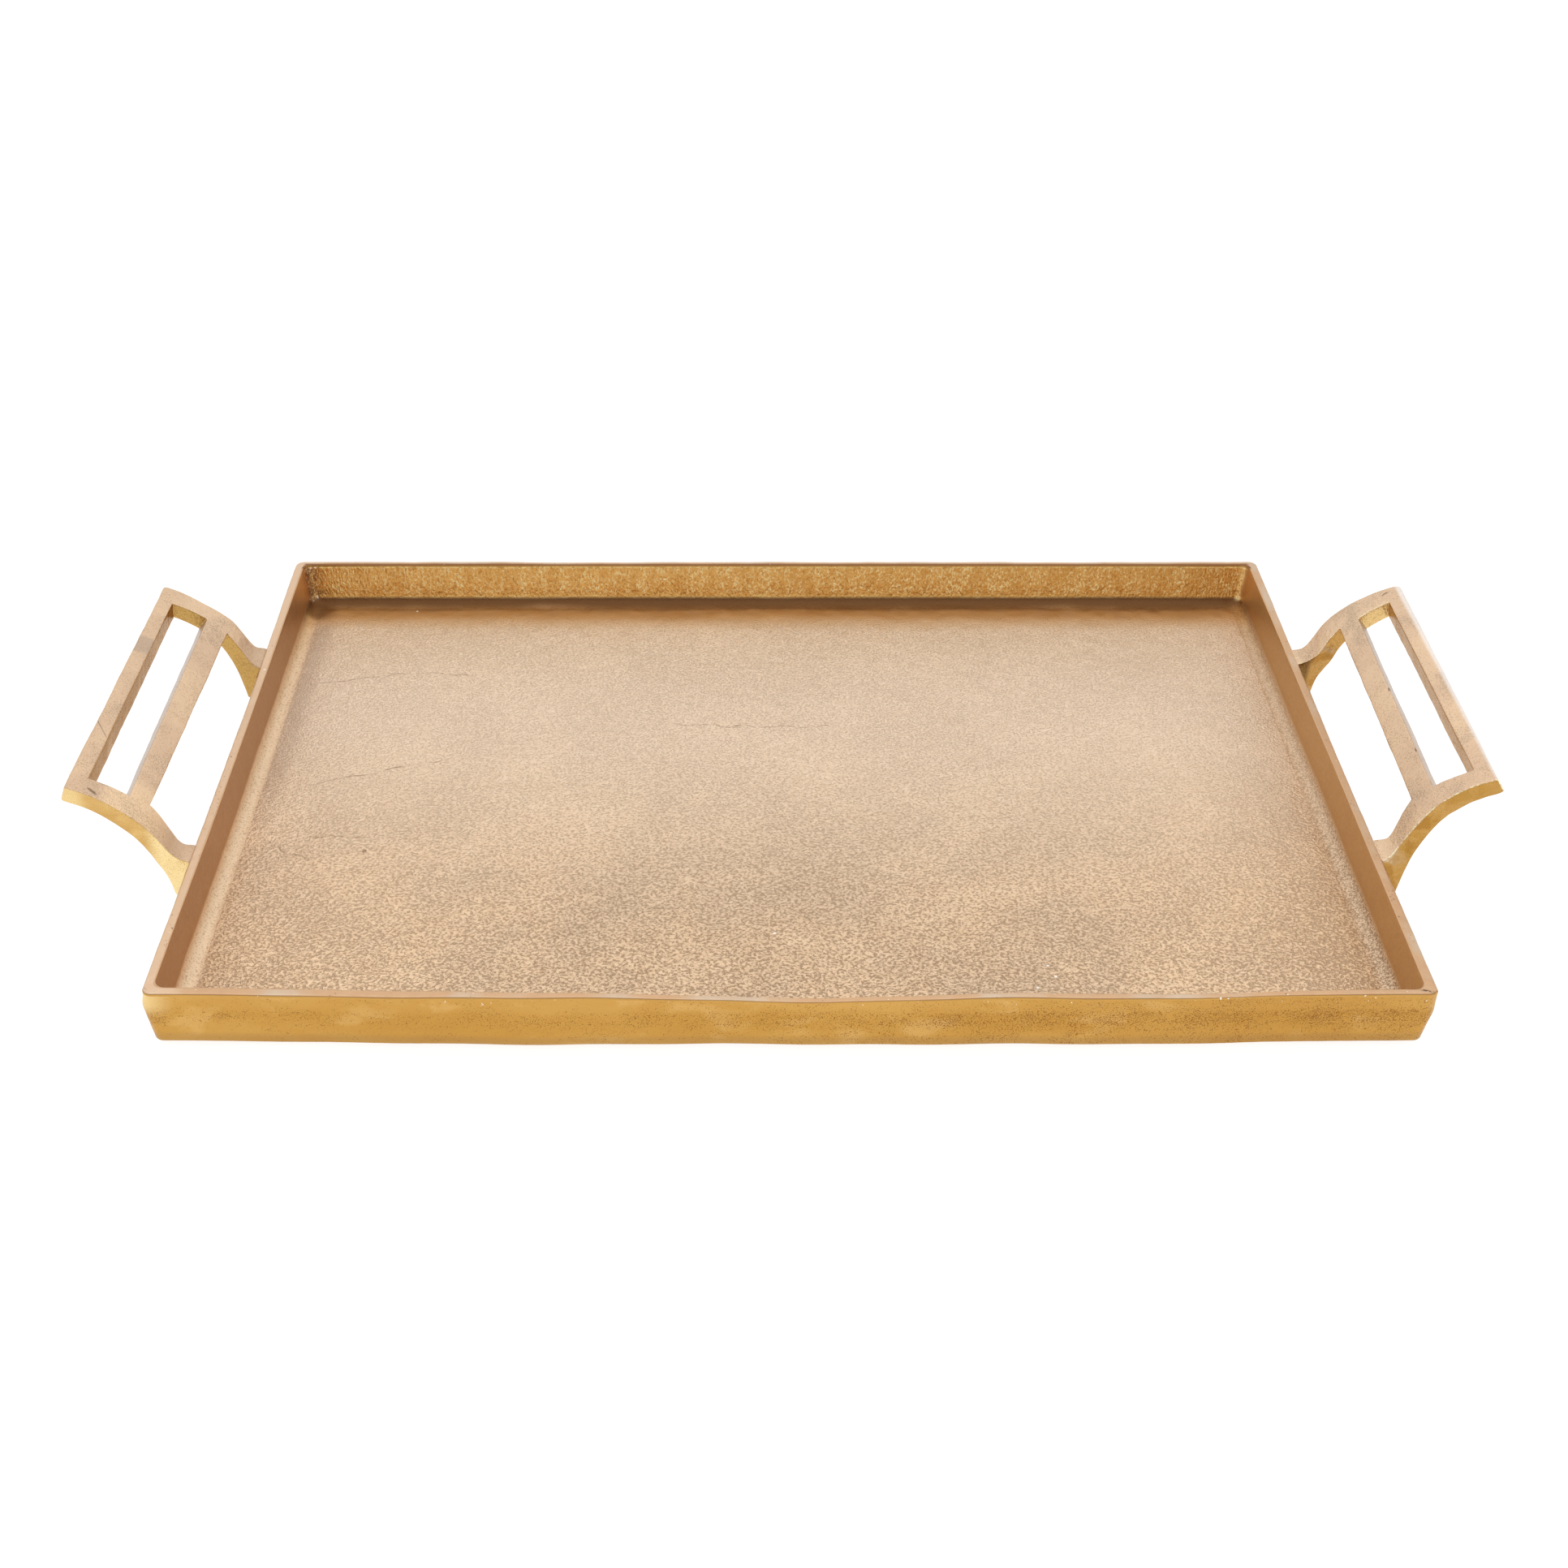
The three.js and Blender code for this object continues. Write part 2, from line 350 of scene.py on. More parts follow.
def back_shade(look, colour):
    """Painted shade and reflection: the brass darkens towards the foot of the back wall, standing in for the
    floor and fillet mirroring the wall and the dim front of the room. It is also darker in a patch at the
    back left corner.
    """
    depth = look.add(look.y, -BACK_Y)
    wander = look.add(look.noise(24, 3), -0.5)
    far = look.add(depth, look.times(wander, 6 * MM))
    colour = look.blend(look.band(far, -31 * MM, -16 * MM), colour, (0.66, 0.42, 0.225))
    middle = look.band(far, -21.5 * MM, -14 * MM, 0.0, 0.6)
    colour = look.blend(middle, colour, (0.43, 0.24, 0.115))
    slow = look.add(look.noise(50, 2, 0.6), -0.5)
    near = look.add(depth, look.times(slow, 4 * MM))
    corner = look.spot((-207, 136.5), 11)
    colour = look.blend(look.times(corner, 0.7), colour, (0.20, 0.105, 0.05))
    return look.blend(look.band(near, -12.6 * MM, -7.2 * MM), colour, FOOT_SHADE)


GRAIN_TURN = 0.6
FLOOR_SPARKLES = [(-4, -93), (87, -123), (94, -117), (92, -111), (-162, 136.5)]
FLOOR_CRACKS = [
    ((-200, 75), (-163, 84)),
    ((-166, 85), (-132, 81)),
    ((-200, -32), (-162, -36)),
    ((-202, -36), (-178, -50)),
    ((-186, 0), (-134, 19)),
    ((-46, 43), (22, 42)),
]


def floor_cracks(look):
    """Broken hairline cracks, a seam beside the left wall and one hole."""
    wander = look.noise(16, 3, 0.6)
    crack = look.either(*[look.line(start, end, 0.55, wander) for start, end in FLOOR_CRACKS])
    crack = look.times(crack, look.band(look.noise(5, 2), 0.35, 0.55))
    seam = look.line((-206, -25), (-206, -75), 0.6)
    return look.either(crack, seam, look.spot((-159, -44), 1.3))


def floor_look():
    """Satin tan, pitted like sand, with smoother strips beside the left and back walls."""
    look = Look("floor_brass")
    patches = look.noise(48, 3, 0.55)
    nearness = look.nearness()
    fine = look.noise(0.70, 2, 0.6, 0.2, (1.15, 1, 1), GRAIN_TURN)
    coarse = look.noise(0.90, 2, 0.6, 0.3, (1.25, 1, 1), GRAIN_TURN)
    grain = look.mix(look.band(look.y, 110 * MM, -110 * MM), fine, coarse)
    left_corner = look.spot((-209, -138), 22)
    right_corner = look.spot((205, -137), 26)
    gutter = look.band(look.x, -END_X + 22 * MM, -END_X + 14 * MM)
    gutter = look.times(gutter, look.band(look.y, -40 * MM, 10 * MM))
    right_edge = look.times(look.band(look.x, 165 * MM, 195 * MM), look.band(look.y, 30 * MM, -30 * MM))
    rougher = look.either(left_corner, right_corner, look.times(gutter, 0.8), look.times(right_edge, 0.5))
    grain = look.add(grain, look.times(rougher, -0.07))
    pitted = look.add(grain, look.times(look.add(patches, -0.5), 0.10))
    pits = look.band(pitted, 0.56, 0.36)
    edge_x = look.band(look.magnitude(look.x), END_X - 11.5 * MM, END_X - 9.5 * MM)
    edge_x = look.times(edge_x, look.on_left())
    edge_y = look.band(look.y, BACK_Y - 24 * MM, BACK_Y - 14 * MM)
    smooth_edge = look.either(edge_x, edge_y)
    pits = look.times(pits, look.band(smooth_edge, 1.0, 0.2, 0.1, 1.0))
    crack = floor_cracks(look)
    look.colour = look.blend(look.band(patches, 0.62, 0.40, 0.0, 0.4), TAN, GREY_TAN)
    look.paint(look.band(look.noise(20, 2), 0.45, 0.7, 0.0, 0.5), PALE_TAN)
    look.paint(look.band(look.y, -110 * MM, 70 * MM, 0.0, 0.9), (0.865, 0.695, 0.535))
    aside = look.band(look.magnitude(look.x), 40 * MM, 190 * MM)
    pale = look.times(aside, nearness, 0.55)
    look.paint(pale, (0.94, 0.69, 0.455))
    look.paint(gutter, (0.45, 0.36, 0.29), 0.2)
    look.paint(edge_x, (0.93, 0.73, 0.54), 0.6)
    strength = look.times(look.mix(nearness, 0.36, 0.66), look.mix(aside, 1.0, 0.85))
    look.paint(look.times(pits, strength), PIT_BROWN)
    # Painted shade and reflection towards the foot of the back wall.
    look.colour = back_shade(look, look.colour)
    sparkle = look.either(*[look.spot(place, 0.75) for place in FLOOR_SPARKLES])
    look.paint(sparkle, (1.0, 0.95, 0.88))
    look.paint(crack, PIT_BROWN, 0.55)
    height = look.add(look.band(pitted, 0.34, 0.62), look.times(crack, -0.5))
    height = look.times(height, look.band(smooth_edge, 1.0, 0.2, 0.15, 1.0))
    look.bump(look.times(height, look.mix(nearness, 0.8, 1.0)), 0.27)
    rough = look.band(look.noise(7, 3), 0.3, 0.7, 0.40, 0.52)
    return look.finish(rough, coat=0.1)


def wall_corners(look, pebbles, grit, upright):
    """A darker brown patch with painted highlight specks in the back left corner, and a painted highlight
    streak in the back right one.
    """
    corner_x = look.band(look.x, -END_X + 15 * MM, -END_X + 5 * MM)
    corner_y = look.band(look.y, BACK_Y - 15 * MM, BACK_Y - 7 * MM)
    corner_zone = look.times(corner_x, corner_y, look.band(look.facing_x, 0.98, 0.90))
    darker_corner = look.times(corner_zone, look.band(pebbles, 0.60, 0.48, 0.4, 0.85), upright)
    look.paint(darker_corner, (0.20, 0.105, 0.055))
    # Painted highlights: pale specks in the back left corner.
    corner_glints = look.times(corner_zone, look.band(grit, 0.58, 0.68), upright)
    look.paint(corner_glints, (1.0, 0.78, 0.62))
    # Painted highlight: a bright streak down the back right corner.
    streak = look.within(look.facing_x, -0.82, -0.62, -0.42, -0.20)
    streak = look.times(streak, look.band(look.x, 180 * MM, 200 * MM), look.band(look.facing_y, -0.3, -0.6))
    look.paint(look.times(streak, upright, 0.6), (1.0, 0.76, 0.36))


def wall_lip(look):
    """Darkens the turn from the wall to the rim, most of all at the back."""
    at_back = look.band(look.y, BACK_Y - 8 * MM, BACK_Y - 6 * MM)
    crown = look.times(look.band(look.z, RIM_Z - 1.5 * MM, RIM_Z - 0.5 * MM), at_back)
    look.paint(crown, (0.50, 0.27, 0.09), 0.6)
    lip = look.times(look.band(look.facing_z, 0.14, 0.40), look.band(look.z, RIM_Z - 5 * MM, RIM_Z - 3 * MM))
    look.paint(lip, look.blend(at_back, RIM_TAN, (0.25, 0.115, 0.04)))


def wall_look():
    """Pebbled gold inside the walls with painted highlight sparkles, end walls painted darker as shade, and
    the tan of the floor on the fillet at their foot.
    """
    look = Look("wall_brass")
    end_wall = look.band(look.magnitude(look.facing_x), 0.5, 0.9)
    back = look.band(look.y, BACK_Y - 11 * MM, BACK_Y - 9.5 * MM)
    height = look.add(look.z, -FLOOR_Z, look.times(back, 1.2 * MM))
    fillet = look.band(height, FLOOR_FILLET - 0.5 * MM, FLOOR_FILLET - 2.5 * MM)
    upright = look.inverse(fillet)
    pebbles = look.noise(1.35, 2, 0.6, 0.3, (0.8, 1, 1.6))
    lumps = look.noise(7, 2, 0.5, 0.3, (0.6, 1, 2.2))
    look.colour = look.blend(look.band(lumps, 0.35, 0.65), GLOWING_GOLD, WALL_GOLD)
    look.paint(look.band(look.x, -120 * MM, 150 * MM, 0.0, 0.30), (0.60, 0.335, 0.09))
    look.paint(look.band(pebbles, 0.50, 0.32, 0.0, 0.6), (0.58, 0.325, 0.09))
    grit = look.noise(0.85, 1, 0.5, 0.1, (1, 1, 1.7))
    # Painted highlights: bright sparkles on the pebbled wall.
    sparkle = look.times(look.band(grit, 0.51, 0.62), look.band(lumps, 0.34, 0.60, 0.35, 1.0))
    sparkle = look.times(sparkle, look.band(look.z, RIM_Z - 0.9 * MM, RIM_Z - 1.9 * MM))
    sparkle = look.times(sparkle, look.band(height, FLOOR_FILLET + 0.2 * MM, FLOOR_FILLET + 1.2 * MM))
    look.paint(sparkle, SPARKLE_HIGHLIGHT)
    left = look.on_left()
    # Painted shade: the end walls, which face sideways, are a darker brown than the back wall, and lighter
    # towards the back.
    ends = look.blend(left, (0.57, 0.345, 0.155), (0.46, 0.255, 0.14))
    near_back = look.times(look.band(look.y, 110 * MM, 142 * MM), look.mix(left, 0.55, 1.0))
    ends = look.blend(near_back, ends, (0.82, 0.46, 0.21))
    look.paint(look.times(end_wall, 0.92), ends)
    fillet_tan = look.blend(left, (0.72, 0.53, 0.36), (0.78, 0.58, 0.39))
    look.paint(fillet, fillet_tan)
    # Painted shade: the foot of the back wall darkened to a deep brown.
    foot = look.times(look.band(height, FLOOR_FILLET + 0.1 * MM, FLOOR_FILLET - 1.9 * MM), back)
    look.paint(foot, FOOT_SHADE)
    # Painted shade and reflection on the back fillet, as on the floor.
    look.paint(fillet, back_shade(look, fillet_tan))
    wall_corners(look, pebbles, grit, upright)
    wall_lip(look)
    grain = look.noise(0.75, 2, 0.6, 0.2)
    nearness = look.nearness()
    open_pits = look.times(look.band(grain, 0.60, 0.40), look.mix(nearness, 0.40, 0.72))
    pitting = look.mix(left, open_pits, look.band(grain, 0.48, 0.34, 0.0, 0.4))
    look.paint(look.times(fillet, pitting), PIT_BROWN)
    relief = look.mix(end_wall, pebbles, look.times(pebbles, 0.3))
    relief = look.add(look.times(relief, upright), look.times(grain, fillet, 0.3))
    below_rim = look.band(look.z, RIM_Z - 0.4 * MM, RIM_Z - 1.6 * MM)
    look.bump(look.times(relief, below_rim), 0.58)
    rough = look.mix(look.either(end_wall, fillet), 0.25, 0.46)
    return look.finish(rough)


def rim_look():
    """Tan like the floor, with a painted dark reflection on the rounded edges, a painted highlight along the
    back edge, pits in clusters and a gouge at the front right corner.
    """
    look = Look("rim_brass")
    specks = look.band(look.noise(1.2, 2, 0.6), 0.36, 0.28)
    clusters = look.band(look.noise(14, 2), 0.48, 0.62)
    edge = look.band(look.facing_z, 0.90, 0.72)
    look.colour = look.blend(look.band(look.noise(26, 3), 0.30, 0.55), GREY_TAN, RIM_TAN)
    left = look.band(look.x, -END_X + 16 * MM, -END_X + 8 * MM)
    look.paint(left, (0.73, 0.52, 0.35))
    look.paint(look.times(specks, clusters), PIT_BROWN)
    # Painted reflection: the rounded edges darkened as if mirroring the dim front of the room.
    look.paint(edge, (0.30, 0.15, 0.05), 0.7)
    look.paint(look.band(look.facing_z, 0.66, 0.48), (0.63, 0.35, 0.09))
    depth = look.add(look.y, -BACK_Y)
    between = look.band(look.magnitude(look.x), END_X - 3 * MM, END_X - 5 * MM)
    inner_back = look.within(depth, -6 * MM, -5 * MM, -2.8 * MM, -1.9 * MM)
    look.paint(look.times(inner_back, between), (0.27, 0.12, 0.045))
    # Painted highlight: the outer part of the back edge paler.
    look.paint(look.band(depth, -1.9 * MM, -0.6 * MM), (0.80, 0.66, 0.50))
    gouge = look.line((207.5, -145.2), (214, -147.4), 0.8, fade=1)
    gouge = look.times(gouge, look.band(look.noise(1.6, 2), 0.40, 0.52))
    look.paint(gouge, (0.10, 0.06, 0.04))
    glint = look.band(look.noise(1.3, 1), 0.76, 0.82)
    look.paint(glint, (1.0, 0.96, 0.86))
    look.bump(look.noise(2.2, 3, 0.55), 0.12)
    return look.finish(look.band(look.noise(5), 0.3, 0.7, 0.38, 0.50), coat=0.1)


def side_look():
    """The polished gold outside of the walls, with pits across the middle of their height."""
    look = Look("side_brass")
    height = look.band(look.z, BASE_Z, RIM_Z)
    drift = look.noise(30, 3, 0.5, 0.3, (2.5, 2.5, 0.7))
    wear = look.noise(12, 2, 0.5, 0.6, (1.6, 1.6, 1))
    specks = look.noise(0.42, 1, 0.5)
    clusters = look.noise(9, 3, 0.6, 0.4, (1.6, 1, 1))
    middle = look.within(height, 0.16, 0.5, 0.68, 0.86)
    right = look.band(look.x, -150 * MM, 120 * MM, -0.06, 0.07)
    density = look.add(look.times(middle, 0.14), right, look.times(clusters, 0.6))
    pits = look.band(look.add(specks, look.times(density, -0.5)), 0.22, 0.12)
    stain = look.times(look.band(clusters, 0.60, 0.75), middle)
    look.colour = look.blend(look.band(drift, 0.35, 0.65), (0.575, 0.302, 0.062), (0.632, 0.353, 0.085))
    # Painted light: the upper part of the outer walls a little paler.
    look.paint(look.band(height, 0.62, 0.92, 0.0, 0.10), PALE_GOLD)
    look.paint(look.band(wear, 0.55, 0.72, 0.0, 0.3), PALE_GOLD)
    look.paint(look.band(look.x, 40 * MM, 210 * MM, 0.0, 0.12), (0.42, 0.18, 0.03))
    glint = look.times(look.band(look.noise(1.5, 1), 0.72, 0.80), look.band(height, 0.92, 0.96))
    look.paint(glint, (1.0, 0.96, 0.75))
    look.paint(stain, BROWN, 0.2)
    # Painted shade: the outer walls darken towards the foot.
    look.paint(look.band(height, 0.14, 0.02, 0.0, 0.3), BROWN)
    look.paint(pits, (0.28, 0.10, 0.012), 0.75)
    relief = look.noise(3.2, 2, 0.45)
    # Painted highlight: a pale glow at the left end of the front wall.
    glow = look.band(look.x, -END_X + 12 * MM, -END_X - 1 * MM)
    glow = look.times(glow, look.band(height, 0.45, 0.90))
    look.paint(glow, (1.0, 0.80, 0.40), 0.6)
    scars = look.band(look.noise(1.1, 2, 0.6), 0.42, 0.34)
    near_corner = look.within(look.x, 178 * MM, 190 * MM, 204 * MM, 212 * MM)
    scars = look.times(scars, near_corner, look.within(height, 0.06, 0.2, 0.65, 0.85))
    look.paint(scars, (0.34, 0.14, 0.02), 0.75)
    look.bump(look.add(relief, look.times(look.either(pits, scars), -0.7)), 0.10)
    rough = look.band(wear, 0.3, 0.7, 0.42, 0.28)
    return look.finish(rough)


def base_look():
    """The underside: sand-cast brass with long grinding strokes."""
    look = Look("base_brass")
    sand = look.noise(1.6, 3, 0.65)
    blotches = look.noise(35, 3, 0.5)
    strokes = look.noise(1.1, 2, 0.5, 0.0, (26, 1, 1))
    look.colour = look.blend(look.band(blotches, 0.35, 0.65), GOLD, DEEP_GOLD)
    look.paint(look.band(sand, 0.46, 0.34, 0.0, 0.8), BROWN)
    look.paint(look.band(strokes, 0.58, 0.72, 0.0, 0.4), PALE_GOLD)
    look.bump(look.add(sand, look.times(strokes, 0.4)), 0.3)
    return look.finish(look.band(sand, 0.3, 0.7, 0.58, 0.42))


HANDLE_MARKS = [
    ((-247.2, -72.4), (-244.2, -74), 0.9),
    ((245.4, 63), (247.8, 63.8), 0.7),
    ((234.8, 5.5), (234.6, 3.5), 0.8),
    ((234, -35.5), (233.9, -37.5), 0.7),
    ((213, -70), (216, -77), 0.5),
    ((215.4, -76), (216.4, -78), 1.2),
]


def handle_top(look, pits, clusters, reach, left):
    """The satin tan of the faces that look up."""
    drift = look.noise(22, 2)
    top = look.blend(look.band(drift, 0.35, 0.65), (0.71, 0.51, 0.345), (0.78, 0.57, 0.38))
    top = look.blend(look.band(clusters, 0.50, 0.72, 0.0, 0.5), top, GREY_TAN)
    grip = look.band(reach, 24 * MM, 30 * MM)
    arm = look.times(look.band(reach, 8 * MM, 12 * MM), look.band(look.y, -50 * MM, -62 * MM))
    arm = look.times(arm, look.inverse(grip), left)
    top = look.blend(look.times(arm, 0.6), top, (0.93, 0.69, 0.44))
    root = look.times(look.band(reach, 9 * MM, 6 * MM), left)
    top = look.blend(look.times(root, 0.6), top, DULL_TAN)
    top = look.blend(look.times(left, look.mix(grip, 0.0, 0.25)), top, DULL_TAN)
    return look.blend(look.times(pits, 0.34), top, PIT_BROWN)


def handle_sides(look, stipple, reach, left, far, inner_face):
    """The polished gold of the upright faces, paler on the left handle and darker on the far arms, with
    painted highlights on the left arms, and painted shade in the hollow by the right wall and on the slot's
    inner face.
    """
    wear = look.noise(9, 2, 0.5, 0.5, (1, 1, 0.6))
    sides = look.blend(look.band(wear, 0.35, 0.65), (0.50, 0.27, 0.062), (0.56, 0.32, 0.095))
    pale = look.blend(look.band(wear, 0.35, 0.65), (0.64, 0.385, 0.125), (0.73, 0.475, 0.175))
    # Painted highlights near the tips and roots of the left handle's arms.
    painted_highlight = look.either(look.band(reach, 30 * MM, 36 * MM, 0.0, 0.6), look.band(reach, 15 * MM, 8 * MM))
    pale = look.blend(painted_highlight, pale, (0.93, 0.72, 0.36))
    sides = look.blend(left, sides, pale)
    pebbles = look.noise(1.3, 2, 0.6, 0.3)
    far_right = look.blend(look.band(reach, 20 * MM, 22 * MM), (0.55, 0.31, 0.095), (0.78, 0.53, 0.23))
    sides = look.blend(far, sides, look.blend(left, far_right, (0.55, 0.335, 0.105)))
    sides = look.blend(look.times(far, look.band(pebbles, 0.48, 0.34, 0.0, 0.3)), sides, (0.34, 0.19, 0.05))
    specks = look.times(look.band(stipple, 0.40, 0.28, 0.0, 0.3), look.band(wear, 0.4, 0.6))
    sides = look.blend(specks, sides, BROWN)
    right_near = look.times(look.inverse(left), look.band(look.facing_y, -0.5, -0.8))
    patch = look.times(look.band(look.noise(7, 3), 0.52, 0.40), look.band(reach, 26 * MM, 12 * MM))
    sides = look.blend(look.times(right_near, patch, 0.6), sides, (0.38, 0.17, 0.025))
    # Painted shade: darker in the hollow where the right handle's far arm meets the wall.
    hollow = look.times(far, look.band(look.x, 0, 0.2), look.band(reach, 5.5 * MM, 3 * MM))
    sides = look.blend(look.times(hollow, 0.75), sides, (0.12, 0.06, 0.02))
    # Painted shade: the slot's inner face brown.
    return look.blend(inner_face, sides, (0.46, 0.235, 0.05))


def handle_look():
    """Tan tops, gold sides, a pale grey painted reflection on the middle bar's outer face, and dents where
    the photo has them.
    """
    look = Look("handle_brass")
    upward = look.band(look.facing_z, 0.20, 0.42)
    outboard = look.times(look.facing_x, look.math("SIGN", look.x))
    # Faces turned inboard, which get a painted shade in handle_sides.
    inner_face = look.times(look.band(outboard, -0.55, -0.85), look.band(look.facing_z, 0.25, 0.05))
    reach = look.add(look.magnitude(look.x), -END_X)
    left = look.on_left()
    far = look.band(look.y, 30 * MM, 40 * MM)
    stipple = look.noise(0.5, 2, 0.6, 0.2, (1, 1.3, 1))
    clusters = look.noise(16, 3, 0.6, 0.4)
    pits = look.band(look.add(stipple, look.times(look.add(clusters, -0.5), -0.5)), 0.50, 0.30)
    top = handle_top(look, pits, clusters, reach, left)
    sides = handle_sides(look, stipple, reach, left, far, inner_face)
    look.colour = look.blend(upward, sides, top)
    square_on = look.band(look.magnitude(look.facing_y), 0.45, 0.25)
    clear_of_wall = look.times(look.band(reach, 9 * MM, 11 * MM), square_on)
    between_arms = look.band(look.magnitude(look.add(look.y, 3 * MM)), 65 * MM, 60 * MM)
    bar_face = look.times(look.band(outboard, 0.62, 0.78), look.band(reach, 28 * MM, 24 * MM))
    bar_face = look.times(bar_face, between_arms, clear_of_wall)
    # Painted reflection: the middle bar's outer face pale grey.
    look.paint(bar_face, BAR_REFLECTION_GREY)
    grip_face = look.times(look.band(outboard, 0.45, 0.75), look.band(reach, 27 * MM, 33 * MM))
    look.paint(look.times(grip_face, square_on), (0.80, 0.58, 0.34))
    on_left_grip = look.times(left, look.band(reach, 26 * MM, 28 * MM))
    cold_band = look.within(look.y, 17 * MM, 18.5 * MM, 28 * MM, 30 * MM)
    cold_band = look.times(cold_band, on_left_grip, upward)
    look.paint(cold_band, (0.44, 0.34, 0.26), 0.5)
    right = look.band(look.x, 10 * MM, 20 * MM)
    right_edge = look.times(right, look.band(reach, 34.2 * MM, 35.8 * MM))
    look.paint(look.times(right_edge, upward, 0.7), (0.93, 0.89, 0.86))
    arris = look.within(look.facing_y, -0.95, -0.88, -0.50, -0.35)
    arris = look.times(arris, look.band(look.facing_z, 0.20, 0.30), right)
    glint = look.band(look.noise(1.0, 1), 0.42, 0.62)
    look.paint(look.times(arris, glint), (1.0, 0.93, 0.62))
    scratch = look.line((-254, -32), (-248.5, -41), 0.3, fade=1)
    dents = [look.line(start, end, width, fade=0.8) for start, end, width in HANDLE_MARKS]
    dent = look.either(*dents)
    dent = look.times(look.either(dent, look.times(scratch, 0.5)), upward)
    look.paint(dent, (0.17, 0.10, 0.06), 0.8)
    relief = look.mix(upward, look.times(look.noise(2.6, 2, 0.5), 0.7), look.noise(1.6, 3, 0.6))
    relief = look.times(relief, look.mix(inner_face, 1.0, 0.3))
    relief = look.add(relief, look.times(dent, -2.0))
    relief = look.add(relief, look.times(far, look.noise(2.4, 2, 0.5), 1.6))
    look.bump(relief, 0.2)
    look.bump(look.times(pits, -1.0), 0.05)
    rough = look.mix(upward, 0.27, 0.45)
    return look.finish(rough)


def braze_look():
    look = Look("braze_brass")
    ripples = look.noise(2.2, 3, 0.6, 0.8)
    look.colour = look.blend(look.band(ripples, 0.35, 0.6), BROWN, PALE_GOLD)
    look.bump(ripples, 0.5)
    return look.finish(look.band(ripples, 0.3, 0.7, 0.45, 0.24))


def felt_look():
    look = Look("felt")
    fibres = look.noise(0.6, 4, 0.7, 1.2, (3, 1, 1))
    tufts = look.noise(3, 2)
    look.colour = look.blend(look.band(fibres, 0.35, 0.7), (0.045, 0.028, 0.018), (0.11, 0.07, 0.045))
    look.paint(look.band(tufts, 0.4, 0.7, 0.0, 0.4), (0.07, 0.05, 0.035))
    look.bump(fibres, 0.3)
    look.shader.inputs["Sheen Weight"].default_value = 0.4
    return look.finish(0.95, metallic=0.0)


# ---- pan

def outer_inset(z):
    return (RIM_Z - z) * math.tan(OUTER_DRAFT)


def inner_inset(z):
    return RIM_THICKNESS + (RIM_Z - z) * math.tan(INNER_DRAFT)


def side_points(start_corner, end_corner, start_degrees, radius, steps):
    """One side of a ring: an eighth of a turn, the straight, and another eighth of a turn."""
    points = []
    for i in range(CORNER_STEPS + 1):
        a = math.radians(start_degrees + 45 * i / CORNER_STEPS)
        points.append((start_corner[0] + radius * math.cos(a), start_corner[1] + radius * math.sin(a)))
    a = math.radians(start_degrees + 45)
    direction = (radius * math.cos(a), radius * math.sin(a))
    first = (start_corner[0] + direction[0], start_corner[1] + direction[1])
    last = (end_corner[0] + direction[0], end_corner[1] + direction[1])
    straight = steps - 2 * CORNER_STEPS
    for i in range(1, straight + 1):
        t = i / straight
        points.append((first[0] + t * (last[0] - first[0]), first[1] + t * (last[1] - first[1])))
    for i in range(1, CORNER_STEPS):
        a = math.radians(start_degrees + 45 + 45 * i / CORNER_STEPS)
        points.append((end_corner[0] + radius * math.cos(a), end_corner[1] + radius * math.sin(a)))
    return points


def ring(inset, z, radius):
    """A closed loop round the pan, from its front left corner towards the front right one."""
    x = END_X - inset - radius
    y = BACK_Y - inset - radius
    corners = [(-x, -y), (x, -y), (x, y), (-x, y)]
    counts = [LONG_SIDE_STEPS, SHORT_SIDE_STEPS] * 2
    points = []
    for k, steps in enumerate(counts):
        points += side_points(corners[k], corners[(k + 1) % 4], 225 + 90 * k, radius, steps)
    return [(px, py, z) for px, py in points]


def patch_indices():
    """For a patch of the ring's steps: which ring point each border vertex is, row by row."""
    columns, rows = LONG_SIDE_STEPS, SHORT_SIDE_STEPS
    total = 2 * (columns + rows)
    border = {}
    for i in range(columns + 1):
        border[(i, 0)] = i
        border[(i, rows)] = 2 * columns + rows - i
    for j in range(rows + 1):
        border[(columns, j)] = columns + j
        border[(0, j)] = (total - j) % total
    return border


def patch(loop):
    """The points inside a ring, blended from its four sides."""
    columns, rows = LONG_SIDE_STEPS, SHORT_SIDE_STEPS
    border = patch_indices()
    loop = np.asarray(loop)
    front = np.array([loop[border[(i, 0)]] for i in range(columns + 1)])
    back = np.array([loop[border[(i, rows)]] for i in range(columns + 1)])
    left = np.array([loop[border[(0, j)]] for j in range(rows + 1)])
    right = np.array([loop[border[(columns, j)]] for j in range(rows + 1)])
    u = np.linspace(0, 1, columns + 1)[:, None, None]
    v = np.linspace(0, 1, rows + 1)[None, :, None]
    ruled = (1 - v) * front[:, None] + v * back[:, None] + (1 - u) * left[None] + u * right[None]
    corners = (
        (1 - u) * (1 - v) * front[0] + u * (1 - v) * front[-1] + (1 - u) * v * back[0] + u * v * back[-1]
    )
    return ruled - corners


def arc_levels(centre_inset, centre_z, radius, start, end, steps):
    """Levels round a quarter: each is (inset, z)."""
    levels = []
    for i in range(steps + 1):
        a = math.radians(start + (end - start) * i / steps)
        levels.append((centre_inset + radius * math.cos(a), centre_z + radius * math.sin(a)))
    return levels


def straight_levels(start, end, steps):
    """Levels between two others, with one more close to each so that the rounded edges stay crisp."""
    span = (end[0] - start[0], end[1] - start[1])
    close = 0.25 * MM / math.hypot(*span)
    shares = [close] + [i / steps for i in range(1, steps)] + [1 - close]
    return [(start[0] + share * span[0], start[1] + share * span[1]) for share in shares]


